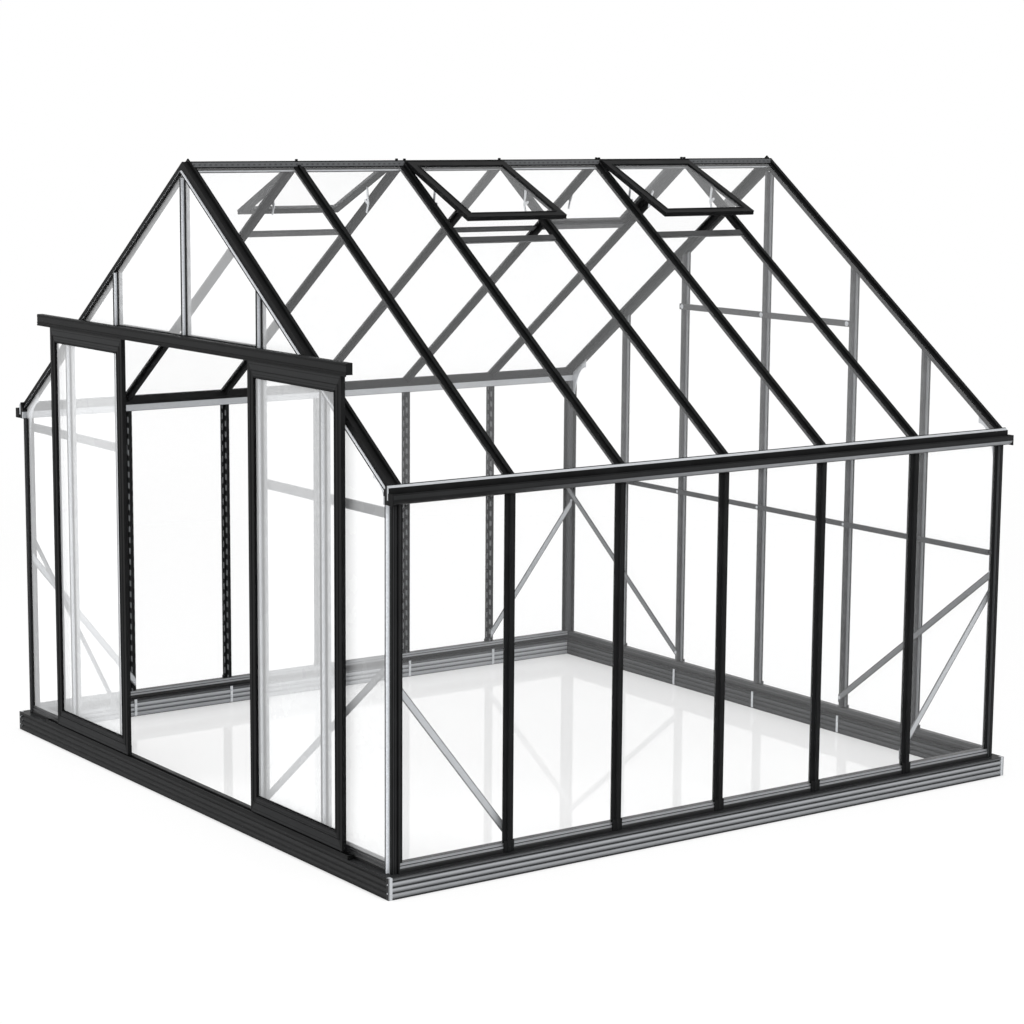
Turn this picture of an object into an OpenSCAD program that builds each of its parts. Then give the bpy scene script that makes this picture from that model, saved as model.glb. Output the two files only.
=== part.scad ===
// A gable-roofed greenhouse: clear polycarbonate panes in a dark aluminium frame
// on a ribbed base, with two sliding door leaves on the front gable and four
// roof vents hinged at the ridge. X is across the gable, Y along the house,
// the doors face -Y, and the origin is on the ground under the middle.

/* [House] */
// Spacing of the glazing bars along the long sides
bay_l = 620; // [480:10:800]
// Number of bays on each long side
bays_l = 6; // [5:1:8]
// Width of each of the two middle gable bays
bay_mid_w = 720; // [600:10:900]
// Width of each of the four outer gable bays
bay_out_w = 560; // [440:10:700]
// Height of the underside of the eave beams
eave_h = 1742; // [1400:2:2120]
// Slope of the roof in degrees
roof_pitch = 36; // [28:1:44]

/* [Base] */
// Height of the ribbed base rails
base_h = 100; // [70:5:160]
// Reach of the base outside the panes
base_out = 50; // [50:1:90]
// Reach of the base inside the panes
base_in = 44; // [34:1:80]
// Height of the sill rails on the base
sill_h = 45; // [34:1:70]
// Width of the corner pieces of the base
base_corner_w = 20; // [16:1:36]

/* [Glazing bars] */
// Thickness of the panes
pane_t = 4; // [3:0.5:8]
// Width of the outer flange of a bar
flange_w = 56; // [44:1:80]
// Thickness of the outer flange
flange_t = 4; // [2:0.5:6]
// Width of the fin on the outer flange
fin_w = 12; // [6:1:20]
// Height of the fin above the outer flange
fin_h = 12; // [4:1:14]
// Width of the web between two pane edges
web_w = 10; // [6:1:16]
// Thickness of the inner flange
inner_t = 3; // [2:0.5:5]
// Width of the inner flange
inner_w = 48; // [36:1:60]
// Width of the stem inside the inner flange
stem_w = 16; // [10:1:28]
// Depth of the stem inside the inner flange
stem_d = 25; // [15:1:40]
// Gap between a pane edge and the metal beside it
pane_gap = 2; // [1:0.5:4]

/* [Corners and rafters] */
// Depth of a gable rafter below the roof panes
rafter_d = 36; // [30:1:60]
// Width of the edge fins on corner posts and rafters
edge_fin_w = 6; // [4:1:10]
// Reach of the pane flanges from corner posts and rafters
edge_flange = 20; // [12:1:30]

/* [Eave and ridge] */
// Height of the roof panes above the beam's underside at the wall
eave_rise = 76; // [70:1:110]
// Outer reach of the gutter from the wall panes
gutter_out = 52; // [50:1:58]
// Height of the gutter's outer wall
gutter_h = 52; // [50:1:70]
// Wall thickness of the gutter
gutter_t = 3; // [2:0.5:5]
// Reach of the gutters past the gable panes
gutter_over = 26; // [24:1:54]
// Distance from the ridge line to the upper ends of the roof bars
ridge_seat = 40; // [34:1:60]
// Half width of the ridge cap
ridge_half = 36; // [30:1:36]
// Height of the ridge cap above the roof panes' meeting line
ridge_top = 8; // [4:1:16]

/* [Roof vents] */
// Length of a vent down the slope
vent_l = 604; // [420:4:800]
// Width of the bars of a vent's frame
vent_rail = 42; // [28:1:60]
// Thickness of a vent's frame
vent_t = 24; // [16:1:32]
// Opening angle of the three open vents
vent_angle = 11; // [2:1:25]
// Gap between a vent and the fins beside it
vent_gap = 4; // [2:1:8]
// Bays of the open vents on the right slope, counted from the front
right_vents = [3, 5]; // [1:1:8]
// Bays of the vents on the left slope, the second one closed
left_vents = [2, 5]; // [1:1:8]

/* [Sliding doors] */
// Width of a door leaf
leaf_w = 820; // [760:5:900]
// Height of a door leaf
leaf_h = 2142; // [1900:2:2300]
// Thickness of a door leaf
leaf_t = 22; // [16:1:28]
// Width of a leaf's stiles
stile_w = 58; // [40:1:80]
// Height of a leaf's top rail
leaf_top = 75; // [50:1:110]
// Height of a leaf's bottom rail
leaf_bottom = 80; // [50:1:140]
// Clearance between a leaf and the fixed metal around it
leaf_clear = 6; // [5:0.5:8]
// Distance the left leaf stands open
left_open = 584; // [0:4:670]
// Distance the right leaf stands open
right_open = 676; // [0:4:676]
// Farthest that either leaf opens
open_max = 676; // [676:4:760]
// Height of the top door track
track_h = 53; // [50:1:70]
// Height of the bottom door guide
guide_h = 22; // [12:1:30]

/* [Hidden] */

black = [0.13, 0.13, 0.14];
grey = [0.62, 0.63, 0.64];
clear_pane = [0.80, 0.88, 0.90, 0.35];

// Overall places, all measured at the middle plane of the panes
half_l = bays_l * bay_l / 2;
half_w = bay_mid_w + 2 * bay_out_w;
jamb_x = bay_mid_w;
outer_x = bay_mid_w + bay_out_w;
bar_ys = [for (i = [1 : bays_l - 1]) i * bay_l - half_l];
sill_top = base_h + sill_h;
apex_z = eave_h + eave_rise + half_w * tan(roof_pitch);
far = half_w + half_l + apex_z;

// Depths across a wall, outward positive
pane_o = pane_t / 2;
flange_o = pane_o + flange_t;
fin_o = flange_o + fin_h;
inner_i = pane_o + inner_t;
stem_i = inner_i + stem_d;
foot_o = 12;
foot_t = 3;
bar_foot_z = base_h + 4;
foot_lap = 12;
seat_inset = 8;
ridge_drop = 24;
beam_o = 14;
gutter_end_t = 4;
strip_t = 1.5;

// Places down the roof slope, from the ridge line
seat_end = (half_w - seat_inset) / cos(roof_pitch);
vent_a = ridge_seat + vent_gap;
vent_sill_w = 38;
vent_sill_a = vent_a + vent_l - vent_sill_w + flange_o;
sill_drop = 8;
rest_t = 10;

// Braces: ends' heights, lap on the corner post, width and thickness
brace_high = eave_h * 0.614;
brace_drop = 95;
brace_low = sill_top + 50;
brace_lap = 20;
brace_w = 34;
brace_t = 5;

// Rails on the inner side of the gables
girt_t = 14;
front_rail_h = 44;
front_rail_drop = 52;
mid_rail_h = 28;
mid_rail_share = 0.677;
high_rail_h = 34;
high_rail_up = 7;

// Door places
leaf_i = fin_o + leaf_clear;
leaf_o = leaf_i + leaf_t;
leaf_z = base_h + guide_h + leaf_clear;
track_z = leaf_z + leaf_h + leaf_clear;
meet_gap = 8;
track_over = 50;
track_half = meet_gap / 2 + leaf_w + open_max + track_over;
track_lip = 4;
track_o = leaf_o + track_lip;
track_wall = 4;
slot_half = 7;
leaf_mid = (leaf_i + leaf_o) / 2;
head_h = 42;
head_z = track_z + track_h + track_wall - head_h;

// ---- frames of reference ----

// Child's X runs along the wall and Y points out of it
module at_right(y) { translate([half_w, y, 0]) rotate(-90) children(); }
module at_left(y) { translate([-half_w, y, 0]) rotate(90) children(); }
module at_front(x) { translate([x, -half_l, 0]) rotate(180) children(); }
module at_back(x) { translate([x, half_l, 0]) children(); }

// Child's X runs down the right slope, Z is the roof's normal
module on_right_roof() { translate([0, 0, apex_z]) rotate([0, roof_pitch, 0]) children(); }
module on_left_roof() { mirror([1, 0, 0]) on_right_roof() children(); }

// Sweeps a section drawn in Y and Z along X from a0 to a1
module along_x(a0, a1) {
    translate([a0, 0, 0]) rotate([90, 0, 90]) linear_extrude(a1 - a0) children();
}

// Place across the house and height of a point a down the slope and v above the panes
function roof_point(a, v) = [
    a * cos(roof_pitch) + v * sin(roof_pitch),
    apex_z - a * sin(roof_pitch) + v * cos(roof_pitch)
];
// Height of the underside of the gable rafters at x
function under_rafter(x) =
    apex_z - abs(x) * tan(roof_pitch) - rafter_d / cos(roof_pitch);

function arc_points(cx, cy, r, a0, a1, steps) =
    [for (i = [0 : steps]) let (t = a0 + (a1 - a0) * i / steps) [cx + r * cos(t), cy + r * sin(t)]];

// ---- sections ----

// Glazing bar: fin, outer flange, web, inner flange and stem
module bar_section() {
    half = [
        [fin_w / 2, fin_o], [fin_w / 2, flange_o], [flange_w / 2, flange_o],
        [flange_w / 2, pane_o], [web_w / 2, pane_o], [web_w / 2, -pane_o],
        [inner_w / 2, -pane_o], [inner_w / 2, -inner_i], [stem_w / 2, -inner_i],
        [stem_w / 2, -stem_i]
    ];
    polygon(concat(half, [for (i = [len(half) - 1 : -1 : 0]) [-half[i][0], half[i][1]]]));
}

// Cover at a bar's foot, in front of the sill
module foot_section() {
    polygon([
        [flange_w / 2, foot_o], [flange_w / 2, foot_o + foot_t], [fin_w / 2, foot_o + foot_t],
        [fin_w / 2, fin_o], [-fin_w / 2, fin_o], [-fin_w / 2, foot_o + foot_t],
        [-flange_w / 2, foot_o + foot_t], [-flange_w / 2, foot_o]
    ]);
}

// Square box of a corner post with a fin at each pane edge
module corner_box() {
    polygon([
        [-stem_i, -stem_i], [fin_o, -stem_i], [fin_o, edge_fin_w - stem_i],
        [flange_o, edge_fin_w - stem_i], [flange_o, flange_o],
        [edge_fin_w - stem_i, flange_o], [edge_fin_w - stem_i, fin_o],
        [-stem_i, fin_o]
    ]);
}

// Pair of flanges that hold a pane's edge beside a box
module edge_flanges() {
    for (y = [[pane_o, flange_t], [-inner_i, inner_t]])
        translate([-stem_i - edge_flange, y[0]]) square([edge_flange + 1, y[1]]);
}

// One face of a base rail, ribs from the ground up
function rib_face(x, depth) = concat(
    [for (i = [0 : 2]) let (z = base_h * (0.07 + 0.26 * i)) each [
        [x, z], [x, z + base_h * 0.08],
        [x - depth, z + base_h * 0.18], [x - depth, z + base_h * 0.22]
    ]],
    [[x, base_h * 0.88], [x, base_h]]
);

module base_section() {
    inner = rib_face(-base_in, -6);
    polygon(concat(
        [[base_out, 0]], rib_face(base_out, 9),
        [for (i = [len(inner) - 1 : -1 : 0]) inner[i]], [[-base_in, 0]]
    ));
}

// Stepped sill with a flat top for the panes
module sill_section() {
    polygon([
        [-stem_i, 0], [foot_o, 0], [foot_o, sill_h * 0.34], [foot_o - 5, sill_h * 0.45],
        [foot_o - 5, sill_h * 0.68], [pane_o, sill_h * 0.79], [pane_o, sill_h],
        [-stem_i, sill_h]
    ]);
}

// Eave beam with its gutter, X outward from the wall panes, Y up from the underside
module eave_section() {
    low = roof_point(seat_end, -rafter_d) - [half_w, eave_h];
    high = roof_point(seat_end, flange_o) - [half_w, eave_h];
    r = 36;
    polygon(concat(
        [[low[0], 0]],
        arc_points(gutter_out - r, r, r, -90, 0, 10),
        [[gutter_out, gutter_h], [gutter_out - gutter_t, gutter_h]],
        arc_points(gutter_out - r, r, r - gutter_t, 0, -90, 10),
        [[beam_o, gutter_t], [beam_o, high[1] - (beam_o - high[0]) * tan(roof_pitch)]],
        [high, low]
    ));
}

// Ridge beam whose sides meet the roof bars square
module ridge_section() {
    half = [
        roof_point(ridge_seat, -stem_i), roof_point(ridge_seat, flange_o),
        [ridge_half, apex_z], [ridge_half - 6, apex_z + ridge_top]
    ];
    polygon(concat(half, [for (i = [len(half) - 1 : -1 : 0]) [-half[i][0], half[i][1]]]));
}

// Gable rafter, X outward from the gable panes, Y above the roof panes
module rafter_box() {
    polygon([
        [-stem_i, -rafter_d], [fin_o, -rafter_d], [fin_o, edge_fin_w - rafter_d],
        [flange_o, edge_fin_w - rafter_d], [flange_o, flange_o],
        [edge_fin_w - stem_i, flange_o], [edge_fin_w - stem_i, fin_o],
        [-stem_i, fin_o]
    ]);
}

// ---- base and sills ----

// Base rail of half length h, mitred inside the corner pieces
module base_rail(h) {
    block = base_out - base_corner_w;
    intersection() {
        rotate([90, 0, 90]) translate([0, 0, -far]) linear_extrude(2 * far) base_section();
        linear_extrude(base_h + 1) polygon([
            [h + block, base_out + 1], [h + block, block], [h - base_in - 1, -base_in - 1],
            [base_in + 1 - h, -base_in - 1], [-h - block, block], [-h - block, base_out + 1]
        ]);
    }
}

module base_front() { color(black) at_front(0) base_rail(half_w); }
module base_back() { color(black) at_back(0) base_rail(half_w); }
module base_left() { color(black) at_left(0) base_rail(half_l); }
module base_right() { color(black) at_right(0) base_rail(half_l); }

module base_corners() {
    edge = base_out - base_corner_w;
    color(grey) for (sx = [-1, 1], sy = [-1, 1]) scale([sx, sy, 1])
        translate([half_w + edge, half_l + edge, 0])
            cube([base_corner_w, base_corner_w, base_h]);
}

// Upright strips that tie the bars to the inner face of the base
module base_clips() {
    clip = [16, 3, base_h - 6];
    color(grey) {
        for (y = bar_ys) {
            at_right(y) translate([-clip[0] / 2, -base_in - clip[1], 4]) cube(clip);
            at_left(y) translate([-clip[0] / 2, -base_in - clip[1], 4]) cube(clip);
        }
        for (x = [-outer_x, -jamb_x, 0, jamb_x, outer_x])
            at_back(x) translate([-clip[0] / 2, -base_in - clip[1], 4]) cube(clip);
        for (x = [-outer_x, -jamb_x, jamb_x, outer_x])
            at_front(x) translate([-clip[0] / 2, -base_in - clip[1], 4]) cube(clip);
    }
}

module sill(x0, x1) {
    translate([0, 0, base_h]) along_x(x0, x1) sill_section();
}

module sill_front() {
    color(black) for (s = [-1, 1]) scale([s, 1, 1])
        at_front(0) sill(stem_i - half_w, flange_w / 2 - jamb_x);
}
module sill_back() { color(black) at_back(0) sill(stem_i - half_w, half_w - stem_i); }
module sill_left() { color(black) at_left(0) sill(stem_i - half_l, half_l - stem_i); }
module sill_right() { color(black) at_right(0) sill(stem_i - half_l, half_l - stem_i); }

// ---- walls ----

// Upright glazing bar from the sill to z1, with its foot cover
module upright(z1) {
    translate([0, 0, sill_top]) linear_extrude(z1 - sill_top) bar_section();
    translate([0, 0, bar_foot_z]) linear_extrude(sill_top - bar_foot_z + foot_lap) foot_section();
}

module left_wall_bars() { color(black) for (y = bar_ys) at_left(y) upright(eave_h); }
module right_wall_bars() { color(black) for (y = bar_ys) at_right(y) upright(eave_h); }

module corner_posts() {
    color(black) for (sx = [-1, 1], sy = [-1, 1]) scale([sx, sy, 1])
        translate([half_w, half_l, 0]) {
            translate([0, 0, base_h]) linear_extrude(eave_h - base_h) corner_box();
            translate([0, 0, sill_top]) linear_extrude(eave_h - sill_top) {
                edge_flanges();
                mirror([1, -1]) edge_flanges();
            }
        }
}

// Keeps what lies under the gable rafters
module below_rafters() {
    intersection() {
        children();
        rotate([90, 0, 0]) translate([0, 0, -far]) linear_extrude(2 * far) polygon([
            [-half_w, 0], [half_w, 0], [half_w, under_rafter(half_w)],
            [0, under_rafter(0)], [-half_w, under_rafter(half_w)]
        ]);
    }
}

// Uprights beside the ridge stop under it, the others under the rafters
function post_top(x) =
    abs(x) < 1 ? under_rafter(0) - ridge_drop : under_rafter(abs(x) - flange_w / 2);

module front_gable_posts() {
    color(black) below_rafters() {
        for (x = [-outer_x, -jamb_x, jamb_x, outer_x]) at_front(x) upright(post_top(x));
        at_front(0) translate([0, 0, head_z + head_h])
            linear_extrude(post_top(0) - head_z - head_h) bar_section();
    }
}

module back_gable_posts() {
    color(black) below_rafters()
        for (x = [-outer_x, -jamb_x, 0, jamb_x, outer_x]) at_back(x) upright(post_top(x));
}

// Level rail on the inner side of a gable
module girt(x0, x1, z, h) {
    translate([x0, -stem_i - girt_t, z - h / 2]) cube([x1 - x0, girt_t, h]);
}

module front_cross_rails() {
    z = eave_h - front_rail_drop;
    color(black) for (s = [-1, 1]) scale([s, 1, 1])
        at_front(0) girt(stem_i - half_w, stem_w / 2 - jamb_x, z, front_rail_h);
}

// Head over the doorway, between the two jamb posts
module door_head() {
    color(black) at_front(0) translate([flange_w / 2 - jamb_x, -stem_i, head_z])
        cube([2 * jamb_x - flange_w, stem_i + fin_o, head_h]);
}

module back_mid_rail() {
    color(black) at_back(0)
        girt(stem_i - half_w, half_w - stem_i, eave_h * mid_rail_share, mid_rail_h);
}
module back_high_rail() {
    end = jamb_x + stem_w / 2;
    color(black) at_back(0) girt(-end, end, track_z + high_rail_up, high_rail_h);
}

// Flat brace on the inner faces, from a corner post at height z down to a bar's foot
// one span away
module brace(span, z) {
    hi = [stem_i - brace_lap, z];
    lo = [span + stem_w / 2, brace_low];
    slope = atan2(lo[1] - hi[1], lo[0] - hi[0]);
    rotate([90, 0, 0]) translate([0, 0, stem_i]) linear_extrude(brace_t) intersection() {
        translate(hi) rotate(slope) translate([-brace_w, -brace_w / 2])
            square([norm(lo - hi) + 2 * brace_w, brace_w]);
        translate([hi[0], sill_top]) square([lo[0] - hi[0], eave_h]);
    }
}

module side_braces() {
    color(grey) for (sx = [-1, 1], sy = [-1, 1]) scale([sx, sy, 1])
        at_right(half_l) brace(bay_l, brace_high - brace_drop);
}

module gable_braces() {
    color(grey) for (sx = [-1, 1], sy = [-1, 1]) scale([sx, sy, 1])
        at_back(-half_w) brace(2 * bay_out_w, brace_high);
}

// Curved plates between each corner post and the rafter above it
module corner_gussets() {
    x = half_w - stem_i;
    reach = 130;
    drop = 150;
    t = 3;
    color(grey) for (sx = [-1, 1], sy = [-1, 1]) scale([sx, sy, 1])
        translate([0, half_l - 9 + t, 0]) rotate([90, 0, 0]) linear_extrude(t) difference() {
            polygon([
                [x, eave_h - drop], [x, under_rafter(x)],
                [x - reach, under_rafter(x - reach)], [x - reach, eave_h - drop]
            ]);
            translate([x - reach, eave_h - drop]) scale([reach - 14, drop + 96])
                circle(1, $fn = 64);
        }
}

// ---- eaves, ridge and rafters ----

module eave_beam() {
    translate([half_w, half_l + gutter_over, eave_h]) rotate([90, 0, 0])
        linear_extrude(2 * (half_l + gutter_over)) eave_section();
}
module left_eave_beam() { color(black) mirror([1, 0, 0]) eave_beam(); }
module right_eave_beam() { color(black) eave_beam(); }

module gutter_ends() {
    color(black) for (sx = [-1, 1], sy = [-1, 1]) scale([sx, sy, 1])
        translate([half_w + beam_o, half_l + gutter_over, eave_h])
            cube([gutter_out - beam_o, gutter_end_t, gutter_h]);
}

module ridge_beam() {
    color(black) translate([0, half_l - stem_i, 0]) rotate([90, 0, 0])
        linear_extrude(2 * (half_l - stem_i)) ridge_section();
}

// One rafter of the back gable's right side
module rafter() {
    intersection() {
        on_right_roof() {
            translate([0, half_l, 0]) along_x(-60, seat_end) rafter_box();
            translate([0, half_l, 0]) along_x(ridge_seat, seat_end) edge_flanges();
        }
        cube([far, far, far]);
    }
}

module back_rafters() { color(black) for (s = [-1, 1]) scale([s, 1, 1]) rafter(); }
module front_rafters() { color(black) for (s = [-1, 1]) scale([s, -1, 1]) rafter(); }

module roof_bars() {
    for (y = bar_ys) translate([0, y, 0]) along_x(ridge_seat, seat_end) bar_section();
}
module left_roof_bars() { color(black) on_left_roof() roof_bars(); }
module right_roof_bars() { color(black) on_right_roof() roof_bars(); }

// Middle of a bay, counted from the front
function bay_mid(i) = (i - 0.5) * bay_l - half_l;

// Crossbar between two roof bars' outer flanges, below a vent
module vent_sill(i) {
    len = bay_l - flange_w;
    translate([vent_sill_a, bay_mid(i) - len / 2, -sill_drop])
        cube([vent_sill_w, len, sill_drop + flange_o]);
}

// Crossbar between two roof bars' inner flanges, under a pane
module pane_rest(i) {
    len = bay_l - inner_w;
    translate([vent_sill_a, bay_mid(i) - len / 2, -pane_o - rest_t])
        cube([vent_sill_w, len, rest_t]);
}

module vent_sills() {
    color(black) {
        on_right_roof() for (i = right_vents) vent_sill(i);
        on_left_roof() {
            for (i = left_vents) vent_sill(i);
            pane_rest(left_vents[1] - 1);
        }
    }
}

// ---- panes ----

module wall_panes() {
    for (i = [1 : bays_l]) {
        y0 = bay_mid(i) - bay_l / 2 + (i == 1 ? stem_i : web_w / 2) + pane_gap;
        y1 = bay_mid(i) + bay_l / 2 - (i == bays_l ? stem_i : web_w / 2) - pane_gap;
        translate([half_w - pane_o, y0, sill_top]) cube([pane_t, y1 - y0, eave_h - sill_top]);
    }
}
module left_wall_panes() { color(clear_pane) mirror([1, 0, 0]) wall_panes(); }
module right_wall_panes() { color(clear_pane) wall_panes(); }

// Gable pane from x0 to x1 above z0, its top edge under the rafter
module gable_pane(x0, x1, z0) {
    translate([0, half_l + pane_o, 0]) rotate([90, 0, 0]) linear_extrude(pane_t) polygon([
        [x0, z0], [x1, z0], [x1, under_rafter(x1)], [x0, under_rafter(x0)]
    ]);
}

gable_in = web_w / 2 + pane_gap;

module outer_gable_panes() {
    gable_pane(jamb_x + gable_in, outer_x - gable_in, sill_top);
    gable_pane(outer_x + gable_in, half_w - stem_i - pane_gap, sill_top);
}

module front_gable_panes() {
    color(clear_pane) for (s = [-1, 1]) scale([s, -1, 1]) {
        outer_gable_panes();
        gable_pane(gable_in, jamb_x - gable_in, head_z + head_h);
    }
}

module back_gable_panes() {
    color(clear_pane) for (s = [-1, 1]) scale([s, 1, 1]) {
        outer_gable_panes();
        gable_pane(gable_in, jamb_x - gable_in, sill_top);
    }
}

module roof_panes(short_bays) {
    for (i = [1 : bays_l]) {
        y0 = bay_mid(i) - bay_l / 2 + (i == 1 ? stem_i : web_w / 2) + pane_gap;
        y1 = bay_mid(i) + bay_l / 2 - (i == bays_l ? stem_i : web_w / 2) - pane_gap;
        short = len([for (j = short_bays) if (j == i) j]) > 0;
        a0 = pane_gap + (short ? vent_sill_a + vent_sill_w : ridge_seat);
        translate([a0, y0, -pane_o]) cube([seat_end - pane_gap - a0, y1 - y0, pane_t]);
    }
}
module left_roof_panes() { color(clear_pane) on_left_roof() roof_panes(left_vents); }
module right_roof_panes() { color(clear_pane) on_right_roof() roof_panes(right_vents); }

// ---- vents ----

// Places a vent's frame of reference at its hinge line
module at_vent(i, angle) {
    translate([vent_a, bay_mid(i), flange_o]) rotate([0, -angle, 0]) children();
}

vent_half = bay_l / 2 - fin_w / 2 - vent_gap;

module vent_frame() {
    difference() {
        translate([0, -vent_half, 0]) cube([vent_l, 2 * vent_half, vent_t]);
        translate([vent_rail, vent_rail - vent_half, -1])
            cube([vent_l - 2 * vent_rail, 2 * (vent_half - vent_rail), vent_t + 2]);
    }
}

module vent_pane() {
    translate([vent_rail, vent_rail - vent_half, vent_t * 0.4])
        cube([vent_l - 2 * vent_rail, 2 * (vent_half - vent_rail), pane_t]);
}

module right_vent_frames() {
    color(black) on_right_roof() for (i = right_vents) at_vent(i, vent_angle) vent_frame();
}
module left_vent_frames() {
    color(black) on_left_roof() {
        at_vent(left_vents[0], vent_angle) vent_frame();
        at_vent(left_vents[1], 0) vent_frame();
    }
}
module vent_panes() {
    color(clear_pane) {
        on_right_roof() for (i = right_vents) at_vent(i, vent_angle) vent_pane();
        on_left_roof() {
            at_vent(left_vents[0], vent_angle) vent_pane();
            at_vent(left_vents[1], 0) vent_pane();
        }
    }
}

// Flat link of width w between two points
module link(p, q, w) {
    d = q - p;
    translate(p) rotate(atan2(d[1], d[0])) {
        translate([0, -w / 2]) square([norm(d), w]);
        circle(d = w, $fn = 32);
        translate([norm(d), 0]) circle(d = w, $fn = 32);
    }
}

// Stay beside a roof bar: links from the bar to the vent's side rail and a hanging handle
module stay(angle) {
    a = vent_a + vent_l * 0.42;
    rail_v = flange_o + (a - vent_a) * tan(angle);
    t = 4;
    for (s = [-1, 1]) translate([0, s * (bay_l / 2 - flange_w / 2 - t / 2), 0])
        rotate([90, 0, 0]) translate([0, 0, -t / 2]) linear_extrude(t)
            difference() {
                union() {
                    link([a + 52, 4], [a + 40, -26], 14);
                    link([a + 40, -26], [a, rail_v - 9], 14);
                    link([a + 40, -26], [a + 76, -52], 12);
                }
                translate([a - 60, rail_v - 1]) rotate(angle) square([200, 60]);
            }
}

module vent_stays() {
    color(grey) {
        on_right_roof() for (i = right_vents) translate([0, bay_mid(i), 0]) stay(vent_angle);
        on_left_roof() {
            translate([0, bay_mid(left_vents[0]), 0]) stay(vent_angle);
            translate([0, bay_mid(left_vents[1]), 0]) stay(0);
        }
    }
}

// ---- trim strips ----

// Pale strips on both sides of a gable bar's fin
module fin_strips(z0, z1) {
    for (x = [-fin_w / 2 - strip_t, fin_w / 2])
        translate([x, flange_o, z0]) cube([strip_t, fin_h - 1, z1 - z0]);
}

module post_strips() {
    for (x = [-outer_x, -jamb_x, jamb_x, outer_x])
        translate([x, 0, 0]) fin_strips(sill_top + foot_lap, post_top(x));
}

// Pale strips beside the fins of the corner posts and rafters
module edge_strips() {
    for (s = [-1, 1]) scale([s, 1, 1]) {
        translate([half_w - stem_i + edge_fin_w, half_l + flange_o, base_h])
            cube([strip_t, fin_h - 1, eave_h - base_h]);
        intersection() {
            on_right_roof() translate([-60, half_l + flange_o, edge_fin_w - rafter_d])
                cube([seat_end + 60, fin_h - 1, strip_t]);
            cube([far, far, far]);
        }
    }
}

module front_trim_strips() {
    color(grey) scale([1, -1, 1]) {
        below_rafters() translate([0, half_l, 0]) {
            post_strips();
            fin_strips(head_z + head_h, post_top(0));
        }
        edge_strips();
    }
}

module back_trim_strips() {
    color(grey) {
        below_rafters() translate([0, half_l, 0]) {
            post_strips();
            fin_strips(sill_top + foot_lap, post_top(0));
        }
        edge_strips();
    }
}

// ---- doors ----

// Track: a box channel with a slot below for the hangers
module door_track() {
    color(black) at_front(0) translate([0, 0, track_z]) along_x(-track_half, track_half)
        difference() {
            translate([fin_o, 0]) square([track_o - fin_o, track_h]);
            translate([fin_o + track_wall, track_wall])
                square([track_o - fin_o - 2 * track_wall, track_h - 2 * track_wall]);
            translate([leaf_mid - slot_half, -1]) square([2 * slot_half, track_wall + 2]);
        }
}

// Guide on the base's ledge, under the leaves
module door_guide() {
    lip = 5;
    color(black) at_front(0) translate([0, 0, base_h]) along_x(-track_half, track_half)
        difference() {
            translate([fin_o, 0]) square([track_o - fin_o, guide_h]);
            translate([fin_o + lip, lip]) square([track_o - fin_o - 2 * lip, guide_h]);
        }
}

// Inner edge of a leaf that stands open by the given distance
function leaf_x(open) = meet_gap / 2 + open;

module leaf_frame() {
    translate([0, leaf_i, leaf_z]) difference() {
        cube([leaf_w, leaf_t, leaf_h]);
        translate([stile_w, -1, leaf_bottom])
            cube([leaf_w - 2 * stile_w, leaf_t + 2, leaf_h - leaf_bottom - leaf_top]);
    }
}

module leaf_pane() {
    translate([stile_w, leaf_mid - pane_o, leaf_z + leaf_bottom])
        cube([leaf_w - 2 * stile_w, pane_t, leaf_h - leaf_bottom - leaf_top]);
}

// Two hangers, each a plate with a wheel that runs in the track
module leaf_hangers() {
    plate = [40, 4, 38];
    wheel_r = 12;
    wheel_t = 8;
    wheel_z = leaf_z + leaf_h + leaf_clear + track_h / 2;
    for (x = [70, leaf_w - 70]) {
        translate([x - plate[0] / 2, leaf_mid - plate[1] / 2, leaf_z + leaf_h])
            cube([plate[0], plate[1], plate[2]]);
        translate([x, leaf_mid + wheel_t / 2, wheel_z]) rotate([90, 0, 0])
            cylinder(r = wheel_r, h = wheel_t, $fn = 48);
    }
}

// Leaves drawn as seen from outside, the right one on +X
module right_leaf() { scale([1, -1, 1]) translate([leaf_x(right_open), half_l, 0]) children(); }
module left_leaf() { scale([-1, -1, 1]) translate([leaf_x(left_open), half_l, 0]) children(); }

module door_left_frame() { color(black) left_leaf() leaf_frame(); }
module door_left_pane() { color(clear_pane) left_leaf() leaf_pane(); }
module door_left_hangers() { color(grey) left_leaf() leaf_hangers(); }
module door_right_frame() { color(black) right_leaf() leaf_frame(); }
module door_right_pane() { color(clear_pane) right_leaf() leaf_pane(); }
module door_right_hangers() { color(grey) right_leaf() leaf_hangers(); }

base_front();
base_back();
base_left();
base_right();
base_corners();
base_clips();
sill_front();
sill_back();
sill_left();
sill_right();
corner_posts();
left_wall_bars();
right_wall_bars();
front_gable_posts();
back_gable_posts();
front_cross_rails();
door_head();
back_mid_rail();
back_high_rail();
side_braces();
gable_braces();
corner_gussets();
left_eave_beam();
right_eave_beam();
gutter_ends();
ridge_beam();
front_rafters();
back_rafters();
left_roof_bars();
right_roof_bars();
vent_sills();
left_wall_panes();
right_wall_panes();
front_gable_panes();
back_gable_panes();
left_roof_panes();
right_roof_panes();
right_vent_frames();
left_vent_frames();
vent_panes();
vent_stays();
front_trim_strips();
back_trim_strips();
door_track();
door_guide();
door_left_frame();
door_left_pane();
door_left_hangers();
door_right_frame();
door_right_pane();
door_right_hangers();
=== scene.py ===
"""Looks for the polycarbonate greenhouse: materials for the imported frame, the small
fittings of its bars, doors and vents, and a pale studio around it."""

import math

import bmesh
import bpy
from mathutils import Matrix, Vector


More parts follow.
